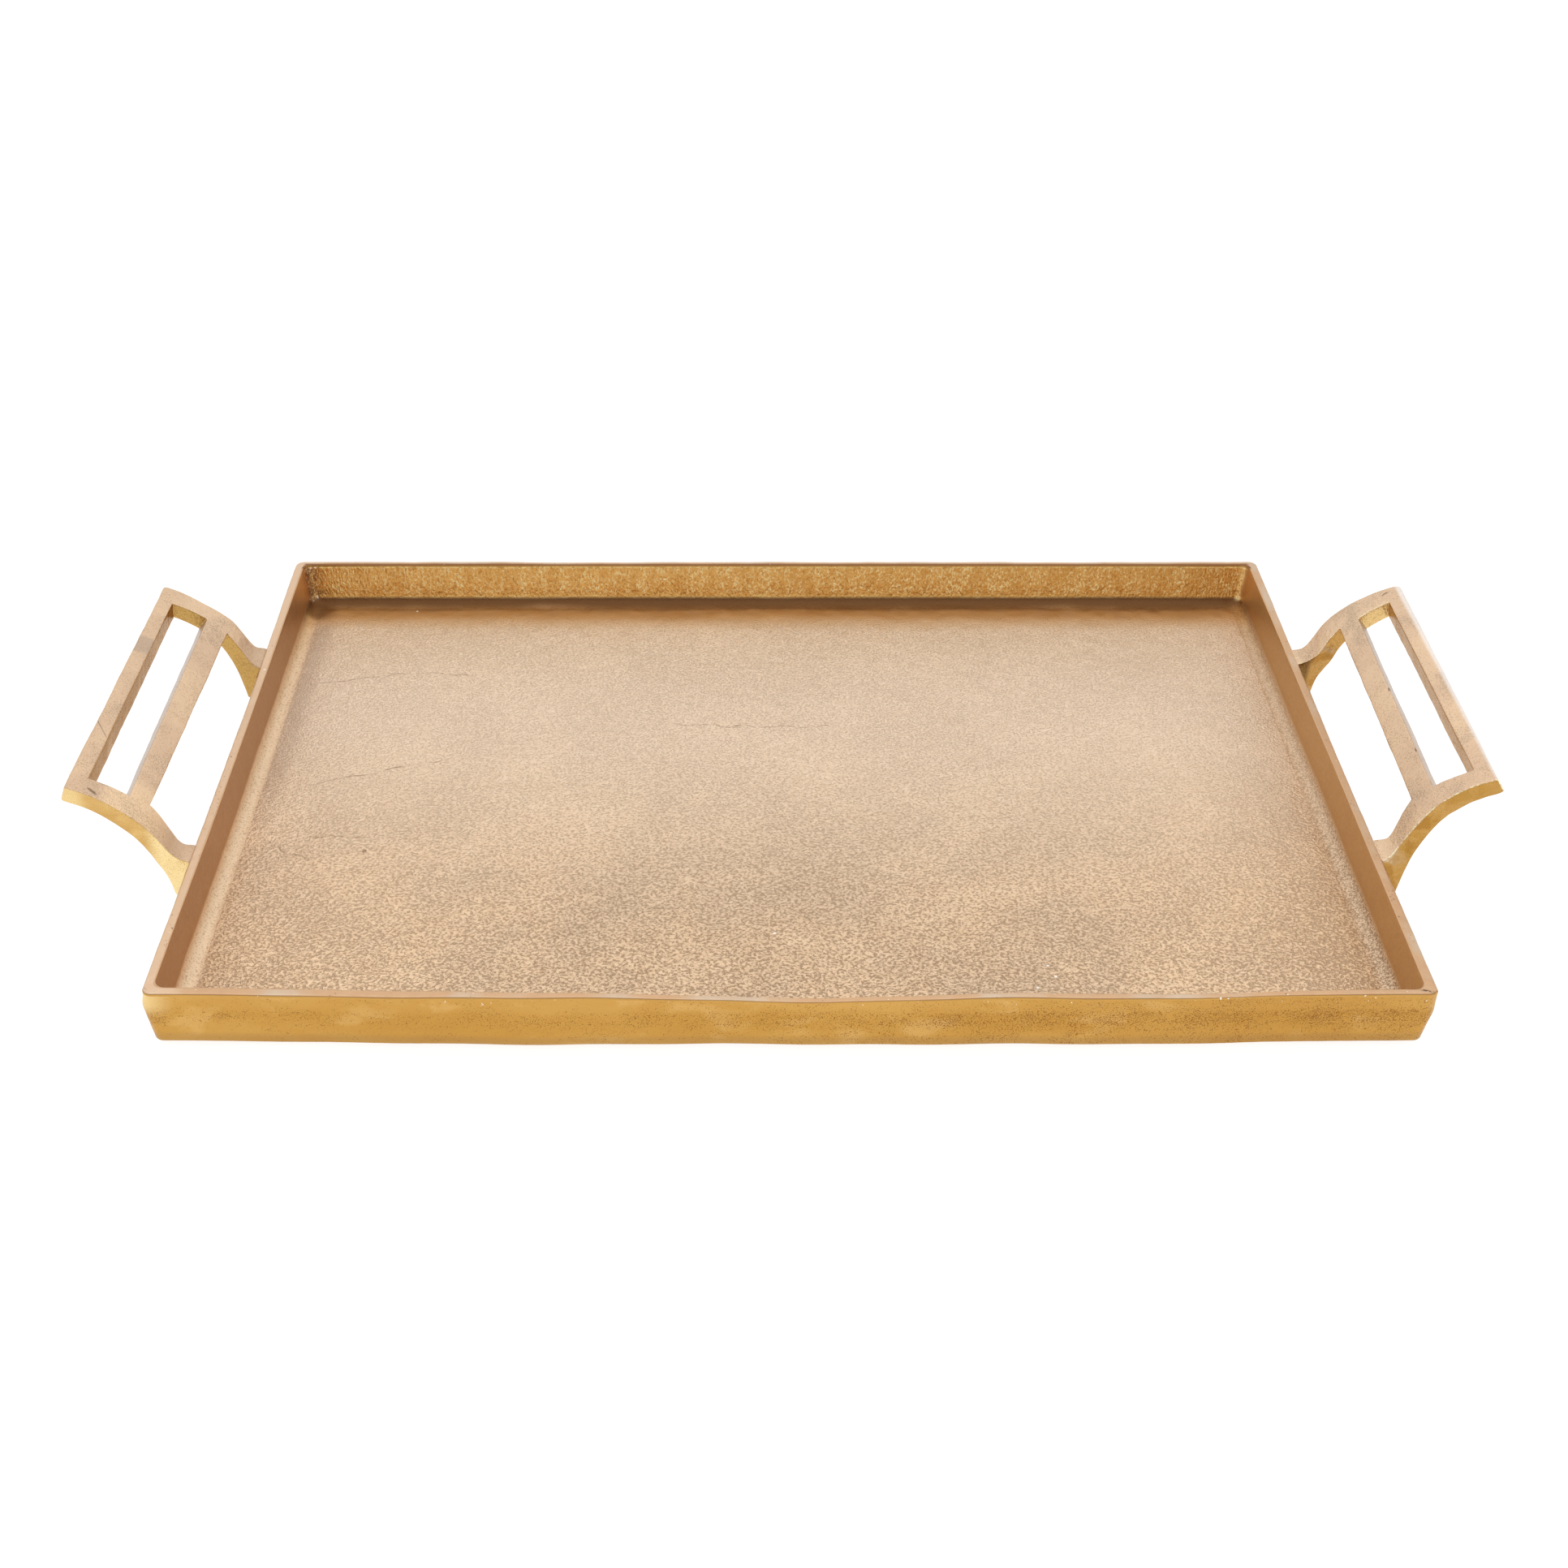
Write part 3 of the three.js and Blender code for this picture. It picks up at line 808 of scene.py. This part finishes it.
def pan_levels():
    """The pan's section from the edge of its underside, over the rim, to the edge of its floor."""
    foot_z = BASE_Z + BASE_ROUND
    base = arc_levels(outer_inset(foot_z) + BASE_ROUND, foot_z, BASE_ROUND, 270, 180, 3)
    edge_z = RIM_Z - OUTER_RIM_ROUND
    rim_outer = arc_levels(outer_inset(edge_z) + OUTER_RIM_ROUND, edge_z, OUTER_RIM_ROUND, 180, 90, 5)
    rim_inner = arc_levels(RIM_THICKNESS - RIM_ROUND, RIM_Z - RIM_ROUND, RIM_ROUND, 90, 0, 4)
    fillet_z = FLOOR_Z + FLOOR_FILLET
    fillet = arc_levels(inner_inset(fillet_z) + FLOOR_FILLET, fillet_z, FLOOR_FILLET, 180, 270, 9)
    side = straight_levels(base[-1], rim_outer[0], 18)
    top = straight_levels(rim_outer[-1], rim_inner[0], 4)
    wall = straight_levels(rim_inner[-1], fillet[0], 12)
    return [
        ("side", OUTER_CORNER, base + side),
        ("rim", OUTER_CORNER, rim_outer + top),
        ("wall", INNER_CORNER, rim_inner + wall),
        ("floor", INNER_CORNER, fillet),
    ]


def pan_mesh(materials):
    """The casting as one closed mesh. The materials are in the order of its bands."""
    order = ["base", "side", "rim", "wall", "floor"]
    vertices, faces, face_materials = [], [], []
    count = 2 * (LONG_SIDE_STEPS + SHORT_SIDE_STEPS)
    loops = []
    for band, radius, levels in pan_levels():
        for inset, z in levels:
            loops.append((order.index(band), ring(inset, z, radius)))
    for k, (band, loop) in enumerate(loops):
        vertices += loop
        if k:
            shown = order.index("wall") if band == order.index("floor") else band
            for i in range(count):
                j = (i + 1) % count
                a, b = (k - 1) * count, k * count
                faces.append((a + i, a + j, b + j, b + i))
                face_materials.append(shown)
    border = patch_indices()
    for loop_index, band, flip in ((0, "base", True), (len(loops) - 1, "floor", False)):
        points = patch(loops[loop_index][1])
        index = {}
        for i in range(LONG_SIDE_STEPS + 1):
            for j in range(SHORT_SIDE_STEPS + 1):
                if (i, j) in border:
                    index[(i, j)] = loop_index * count + border[(i, j)]
                else:
                    index[(i, j)] = len(vertices)
                    vertices.append(tuple(points[i, j]))
        for i in range(LONG_SIDE_STEPS):
            for j in range(SHORT_SIDE_STEPS):
                quad = [index[(i, j)], index[(i + 1, j)], index[(i + 1, j + 1)], index[(i, j + 1)]]
                faces.append(quad[::-1] if flip else quad)
                face_materials.append(order.index(band))
    return new_object("pan_casting", vertices, faces, materials, face_materials)


def hand_cast_shape(pan):
    """The pan's own crookedness: a bulging, dipping front wall, swollen front corners and a left wall
    that leans in."""
    co = coordinates(pan.data)
    x, y, z = co.T.copy()
    front = smooth(y, -BACK_Y + 16 * MM, -BACK_Y + 5 * MM)
    middle = smooth(np.abs(x), END_X, 100 * MM)
    ripple = 0.25 * np.sin(x / (17 * MM)) + 0.18 * np.sin(x / (7.3 * MM) + 1)
    co[:, 1] -= front * middle * (1.9 + ripple) * MM
    high = smooth(z, FLOOR_Z + 2 * MM, RIM_Z)
    dip = bell(x, 10 * MM, 52 * MM) * 1.5 + 0.35 * middle * np.sin(x / (21 * MM) + 2)
    co[:, 2] -= front * high * dip * MM
    inner = smooth(y, -BACK_Y + 1.2 * MM, -BACK_Y + RIM_THICKNESS) * high * front
    co[:, 1] -= inner * smooth(x, -160 * MM, -40 * MM) * 1.1 * MM
    left = smooth(x, -END_X + 14 * MM, -END_X + 5 * MM)
    co[:, 0] += left * smooth(np.abs(y), BACK_Y, 20 * MM) * 0.5 * MM
    end_inset = END_X - np.abs(x)
    on_end = smooth(end_inset - outer_inset(z), 2.5 * MM, 1 * MM)
    on_front = smooth(BACK_Y + y - outer_inset(z), 2.5 * MM, 1 * MM)
    outside = np.maximum(on_end, on_front * smooth(end_inset, 30 * MM, 4 * MM))
    left_swell = 1.9 * MM * smooth(z, RIM_Z - 0.5 * MM, RIM_Z - 8 * MM)
    right_swell = 1.6 * MM * smooth(z, RIM_Z - 0.5 * MM, RIM_Z - 11 * MM)
    swell = np.where(x < 0, -left_swell, right_swell)
    co[:, 0] += outside * smooth(y, -122 * MM, -140 * MM) * swell
    set_coordinates(pan.data, co)


def make_pan():
    pan = pan_mesh([base_look(), side_look(), rim_look(), wall_look(), floor_look()])
    hand_cast_shape(pan)
    co = coordinates(pan.data)
    inside = (np.abs(co[:, 0]) < END_X - 5 * MM) & (np.abs(co[:, 1]) < BACK_Y - 5 * MM)
    under = co[:, 2] < BASE_Z + 1 * MM
    calm = np.where(under, 0.3, 1.0)
    cast_waviness(pan, [
        (60 * MM, 0.35 * MM * calm),
        (17 * MM, 0.16 * MM * calm),
        (5 * MM, np.where(inside, 0.13, 0.07) * MM * calm),
        (2.6 * MM, np.where(inside & ~under, 0.09, 0.03) * MM),
    ])
    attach(pan, "root")
    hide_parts("tray_pan")


# ---- handle

@dataclass
class HandleForm:
    """One handle's own sizes. The castings were finished by hand, so their near and far ends differ.
    marks: degrees on the arc at the near and the far end, of the tip, slot and middle bar edges.
    slot_lean, tip_lead: how far the slot's outer face and the tip lean, in degrees.
    slot_near, slot_far: y of the slot's ends, at its outer and its inner edge.
    The edges are (distance out from the rim, y) along an arm's two sides, in millimetres."""

    side: int
    thickness: float
    lift: float
    marks: list
    slot_lean: float
    tip_lead: float
    slot_near: tuple
    slot_far: tuple
    edges: dict

    def edge(self, name, out):
        return float(np.interp(out, *(np.array(self.edges[name]) * MM).T))


HANDLE_FORMS = {
    "handle_left": HandleForm(
        side=-1,
        thickness=6.3 * MM,
        lift=-0.8 * MM,
        marks=[(18.4, 20.6), (25.1, 26.7), (41, 42.2), (49.6, 53)],
        slot_lean=3.2,
        tip_lead=0.0,
        slot_near=(-67 * MM, -66 * MM),
        slot_far=(58 * MM, 60.2 * MM),
        edges={
            "near": [(0, -76), (4, -77.2), (12, -76.2), (37, -76.2)],
            "far": [(0, 73), (3.5, 69.7), (11, 71.6), (22, 68.6), (37, 68.2)],
            "gap_near": [(0, -65.3), (3.5, -68), (8, -65.4), (12, -63.4)],
            "gap_far": [(0, 57.5), (6, 60), (12, 61)],
        },
    ),
    "handle_right": HandleForm(
        side=1,
        thickness=6.7 * MM,
        lift=0.8 * MM,
        marks=[(21.5, 20.1), (28.1, 27), (43.6, 40.9), (52.6, 49.5)],
        slot_lean=2.6,
        tip_lead=1.2,
        slot_near=(-62.3 * MM, -60 * MM),
        slot_far=(56.7 * MM, 56.7 * MM),
        edges={
            "near": [(0, -76), (5, -73.2), (16, -70.4), (26, -70.8), (37, -72.3)],
            "far": [(0, 71.5), (3.5, 68.6), (10, 71), (22, 68.3), (37, 65.9)],
            "gap_near": [(0, -62.5), (4, -66), (9, -60.5), (13, -57.4)],
            "gap_far": [(0, 60), (3, 58.4), (6, 56.8), (9.5, 58.8), (12, 58.9)],
        },
    ),
}


def arc_point(radius, angle):
    return (ARC_CENTRE_OUT - radius * math.sin(angle), ARC_CENTRE_Z + radius * math.cos(angle))


def upper_curve(angle):
    """The strap's upper face: along the arc, over the root fillet onto the rim, and down inside the wall."""
    if angle <= ROOT_ANGLE:
        return arc_point(ARC_OUTER, angle)
    root = arc_point(ARC_OUTER, ROOT_ANGLE)
    top = RIM_Z + 0.06 * MM
    bend = (root[0] - (root[1] - top) / math.tan(ROOT_ANGLE), top)
    landing = (-WALL_BITE, top)
    t = (angle - ROOT_ANGLE) / (math.radians(90) - ROOT_ANGLE)
    split = 0.66
    if t <= split:
        t = t / split
        return tuple(
            (1 - t) ** 2 * root[k] + 2 * t * (1 - t) * bend[k] + t ** 2 * landing[k] for k in (0, 1)
        )
    t = (t - split) / (1 - split)
    z = RIM_Z - 0.6 * MM + t * (LEG_BOTTOM_Z - RIM_Z)
    return (-WALL_BITE - outer_inset(z), z)


def lower_curve(angle, radius):
    out, z = arc_point(radius, angle)
    return (out, max(z, LEG_BOTTOM_Z))


def cage_lines(form):
    """The cage's lines along the arc, as (mark, share): a share of the way from one mark to the next."""
    marks = [(math.radians(near), math.radians(far)) for near, far in form.marks + [(90, 90)]]
    edge = math.radians(0.8)
    lines = []
    for k, (start, end) in enumerate(zip(marks, marks[1:])):
        width = (end[0] + end[1] - start[0] - start[1]) / 2
        inner = max(1, round((width - 2 * edge) / math.radians(3)))
        lines.append((k, 0.0))
        for i in range(inner + 1):
            lines.append((k, (edge + (width - 2 * edge) * i / inner) / width))
    lines.append((len(marks) - 2, 1.0))
    return lines, marks


def handle_mesh(name, form, materials):
    lines, marks = cage_lines(form)
    starts = [k for k, line in enumerate(lines) if line[1] == 0.0]
    edge = 0.8 * MM
    arm = 10 * MM
    shares = [0, edge / arm, 0.5, 1 - edge / arm, 1]
    span = form.slot_far[1] - form.slot_near[1]
    middle = [0, edge / span] + [i / 24 for i in range(1, 24)] + [1 - edge / span, 1]
    depths = [0, 0.14, 0.5, 0.86, 1]
    low = len(shares) - 1
    high = low + len(middle) - 1
    rows = low + len(middle) + len(shares) - 1
    last = len(lines) - 1
    top = len(depths) - 1

    def solid(i, j):
        """Whether the cell between lines i, i + 1 and rows j, j + 1 holds metal."""
        if j < low or j >= high:
            return True
        return i < starts[1] or starts[2] <= i < starts[3]

    def opening(out, mark, share):
        """The near and far ends of the slot, or of the gap beside the wall."""
        if mark == 3:
            return form.edge("gap_near", out), form.edge("gap_far", out)
        inward = (0.0, share, 1.0)[mark]
        near = form.slot_near[0] + inward * (form.slot_near[1] - form.slot_near[0])
        far = form.slot_far[0] + inward * (form.slot_far[1] - form.slot_far[0])
        return near, far

    def place(i, j, depth):
        mark, share = lines[i]
        far_share = min(1.0, max(0.0, (j - low) / (high - low)))
        start, end = marks[mark], marks[mark + 1]
        near = start[0] + share * (end[0] - start[0])
        far = start[1] + share * (end[1] - start[1])
        angle = near + far_share * (far - near)
        upper = upper_curve(angle)
        lean = 0.0
        if starts[1] - 1 <= i <= starts[1] and low <= j <= high:
            lean = math.radians(form.slot_lean)
        if i == 0:
            upper = arc_point(ARC_OUTER - 0.6 * MM, angle + math.radians(0.2))
            lean = -math.radians(form.tip_lead)
        lower = lower_curve(angle + lean, ARC_OUTER - form.thickness)
        out = lower[0] + depth * (upper[0] - lower[0])
        z = lower[1] + depth * (upper[1] - lower[1])
        near_edge, far_edge = form.edge("near", upper[0]), form.edge("far", upper[0])
        if i == 0:
            near_edge += 0.9 * MM
            far_edge -= 0.9 * MM
        bottom, ceiling = opening(upper[0], mark, share)
        if j < low:
            y = near_edge + shares[j] * (bottom - near_edge)
        elif j <= high:
            y = bottom + middle[j - low] * (ceiling - bottom)
        else:
            y = ceiling + shares[j - high] * (far_edge - ceiling)
        lift = form.lift * min(1.0, max(0.0, out / (20 * MM)))
        return (form.side * (END_X + out), y, z + lift)

    vertices, index, faces = [], {}, []

    def vertex(i, j, k):
        if (i, j, k) not in index:
            index[(i, j, k)] = len(vertices)
            vertices.append(place(i, j, depths[k]))
        return index[(i, j, k)]

    for i in range(last):
        for j in range(rows - 1):
            if not solid(i, j):
                continue
            corners = [(i, j), (i, j + 1), (i + 1, j + 1), (i + 1, j)]
            faces.append([vertex(*corner, top) for corner in corners])
            faces.append([vertex(*corner, 0) for corner in corners[:1] + corners[:0:-1]])
            around = [
                ((i, j), (i, j + 1), i == 0 or not solid(i - 1, j)),
                ((i, j + 1), (i + 1, j + 1), j == rows - 2 or not solid(i, j + 1)),
                ((i + 1, j + 1), (i + 1, j), i == last - 1 or not solid(i + 1, j)),
                ((i + 1, j), (i, j), j == 0 or not solid(i, j - 1)),
            ]
            for a, b, is_open in around:
                if is_open:
                    for k in range(top):
                        faces.append([vertex(*b, k + 1), vertex(*a, k + 1), vertex(*a, k), vertex(*b, k)])
    obj = new_object(name, vertices, faces, materials)
    face_outwards(obj)
    rounded = obj.modifiers.new("rounded", "SUBSURF")
    rounded.levels = 2
    rounded.render_levels = 2
    apply_modifiers(obj)
    obj.data.polygons.foreach_set("use_smooth", np.ones(len(obj.data.polygons), bool))
    return obj


def make_handle(name, material):
    handle = handle_mesh(name + "_casting", HANDLE_FORMS[name], [material])
    cast_waviness(handle, [(28 * MM, 0.3 * MM), (9 * MM, 0.14 * MM), (3 * MM, 0.06 * MM)])
    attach(handle, "root")
    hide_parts(name)


# ---- braze and pads

def make_braze(node, material):
    """A lumpy bead round the foot of one arm: down one side, under it and up the other."""
    low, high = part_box(node)
    side = 1 if low.x > 0 else -1
    radius = 1.7 * MM
    route = [(low.y + radius, high.z - radius), (low.y + radius, low.z + radius)]
    route += [(high.y - radius, low.z + radius), (high.y - radius, high.z - radius)]
    path = []
    for a, b in zip(route, route[1:]):
        steps = max(2, round(math.dist(a, b) / (0.8 * MM)))
        path += [(a[0] + (b[0] - a[0]) * i / steps, a[1] + (b[1] - a[1]) * i / steps) for i in range(steps)]
    path.append(route[-1])
    around = 14
    vertices = []
    for k, (y, z) in enumerate(path):
        before, after = path[max(0, k - 1)], path[min(len(path) - 1, k + 1)]
        along = Vector((0, after[0] - before[0], after[1] - before[1])).normalized()
        across = Vector((0, -along.z, along.y))
        end = min(k, len(path) - 1 - k) / 3
        size = radius * (1 if end >= 1 else math.sqrt(max(0.02, 1 - (1 - end) ** 2)))
        wall = side * (END_X - outer_inset(z) + 0.4 * MM)
        for i in range(around):
            a = math.tau * i / around
            lump = 1 + 0.25 * noise.noise(Vector((side * 9, y / (3 * MM), z / (3 * MM) + i * 0.2)))
            offset = across * math.cos(a) * size * lump
            vertices.append((wall + side * math.sin(a) * size * lump, y + offset.y, z + offset.z))
    faces = tube_faces(len(path), around)
    faces.append(tuple(range(around))[::-1])
    faces.append(tuple(range((len(path) - 1) * around, len(path) * around)))
    bead = new_object(node + "_bead", vertices, faces, [material])
    face_outwards(bead)
    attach(bead, "root")
    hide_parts(node)


def make_pad(node, material):
    """A felt disc with a soft, slightly uneven edge."""
    low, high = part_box(node)
    centre = (low + high) / 2
    radius = (high.x - low.x) / 2
    thick = high.z - low.z
    around = 72
    section = [(0.0, 0.0), (0.35, 0.0), (0.7, 0.0), (0.93, 0.0), (0.985, 0.12), (1.0, 0.5), (0.985, 0.88)]
    section += [(0.93, 1.0), (0.7, 1.0), (0.35, 1.0), (0.0, 1.0)]
    vertices = []
    for r, h in section[1:-1]:
        for i in range(around):
            a = math.tau * i / around
            fuzz = 1 + 0.012 * noise.noise(Vector((a * 9, h * 3, centre.x * 50 + centre.y * 30)))
            point = (centre.x + radius * r * fuzz * math.cos(a), centre.y + radius * r * fuzz * math.sin(a))
            vertices.append((*point, low.z + thick * h))
    rings = len(section) - 2
    faces = tube_faces(rings, around)
    for k, z in ((0, low.z), (rings - 1, high.z)):
        middle = len(vertices)
        vertices.append((centre.x, centre.y, z))
        for i in range(around):
            j = (i + 1) % around
            triangle = (k * around + j, k * around + i, middle)
            faces.append(triangle if k == 0 else triangle[::-1])
    pad = new_object(node + "_felt", vertices, faces, [material])
    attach(pad, "root")
    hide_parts(node)


# ---- camera, light and floor

SENSOR_MM = 36.0
LENS_MM = 46.92857
LENS_SHIFT = 0.0289855
CAMERA_PLACE = (-17 * MM, -664.2 * MM, RIM_Z + 446.4 * MM)
CAMERA_PITCH = 35


def make_camera():
    data = bpy.data.cameras.new("camera")
    data.sensor_width = SENSOR_MM
    data.lens = LENS_MM
    data.shift_x = LENS_SHIFT
    camera = bpy.data.objects.new("camera", data)
    camera.location = CAMERA_PLACE
    camera.rotation_euler = (math.radians(90 - CAMERA_PITCH), 0, 0)
    bpy.context.scene.collection.objects.link(camera)
    bpy.context.scene.camera = camera


def make_world():
    """A white studio that is bright overhead and behind, and dim low down on the camera's side."""
    world = bpy.data.worlds.new("studio")
    world.use_nodes = True
    tree = world.node_tree
    nodes, links = tree.nodes, tree.links
    place = nodes.new("ShaderNodeTexCoord")
    split = nodes.new("ShaderNodeSeparateXYZ")
    links.new(place.outputs["Generated"], split.inputs[0])
    front = eased_step(tree, split.outputs["Z"], 0.04, 0.55, 0.55, 0.98)
    beside = eased_step(tree, split.outputs["Y"], -0.65, -0.20)
    strength = nodes.new("ShaderNodeMix")
    links.new(beside, strength.inputs[0])
    links.new(front, strength.inputs[2])
    strength.inputs[3].default_value = 1.0
    links.new(strength.outputs[0], nodes["Background"].inputs["Strength"])
    nodes["Background"].inputs["Color"].default_value = (1, 1, 1, 1)
    bpy.context.scene.world = world


LIGHT_PLACE = (0, 0.35, 1.3)
LIGHT_SIZE = (1.6, 1.2)
LIGHT_WATTS = 2.5


def make_light():
    """One weak panel overhead, aimed at the tray."""
    light = bpy.data.lights.new("overhead", "AREA")
    light.shape = "RECTANGLE"
    light.size, light.size_y = LIGHT_SIZE
    light.energy = LIGHT_WATTS
    obj = bpy.data.objects.new("overhead", light)
    obj.location = LIGHT_PLACE
    obj.rotation_euler = (-Vector(LIGHT_PLACE)).to_track_quat("-Z", "Y").to_euler()
    bpy.context.scene.collection.objects.link(obj)


GROUND_Z = -0.05 * MM
GROUND_HALF = 6


def make_ground():
    """A pale floor that glows faintly, so that it reads as white; it lies just under the felt pads."""
    mesh = bpy.data.meshes.new("ground")
    corners = [(-1, -1), (1, -1), (1, 1), (-1, 1)]
    corners = [(GROUND_HALF * x, GROUND_HALF * y, GROUND_Z) for x, y in corners]
    mesh.from_pydata(corners, [], [(0, 1, 2, 3)])
    ground = bpy.data.objects.new("ground", mesh)
    bpy.context.scene.collection.objects.link(ground)
    material = bpy.data.materials.new("ground")
    material.use_nodes = True
    shader = material.node_tree.nodes["Principled BSDF"]
    shader.inputs["Base Color"].default_value = (0.25, 0.25, 0.25, 1)
    shader.inputs["Roughness"].default_value = 0.9
    shader.inputs["Specular IOR Level"].default_value = 0.1
    shader.inputs["Emission Color"].default_value = (1, 1, 1, 1)
    shader.inputs["Emission Strength"].default_value = 0.86
    mesh.materials.append(material)


# ---- the scene

make_pan()
handle_brass = handle_look()
for handle_name in HANDLE_FORMS:
    make_handle(handle_name, handle_brass)
braze = braze_look()
felt = felt_look()
for node_name in sorted(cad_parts):
    if node_name.startswith("braze_"):
        make_braze(node_name, braze)
    if node_name.startswith("foot_pad_"):
        make_pad(node_name, felt)
make_camera()
make_world()
make_light()
make_ground()
bpy.context.scene.view_settings.view_transform = "Standard"
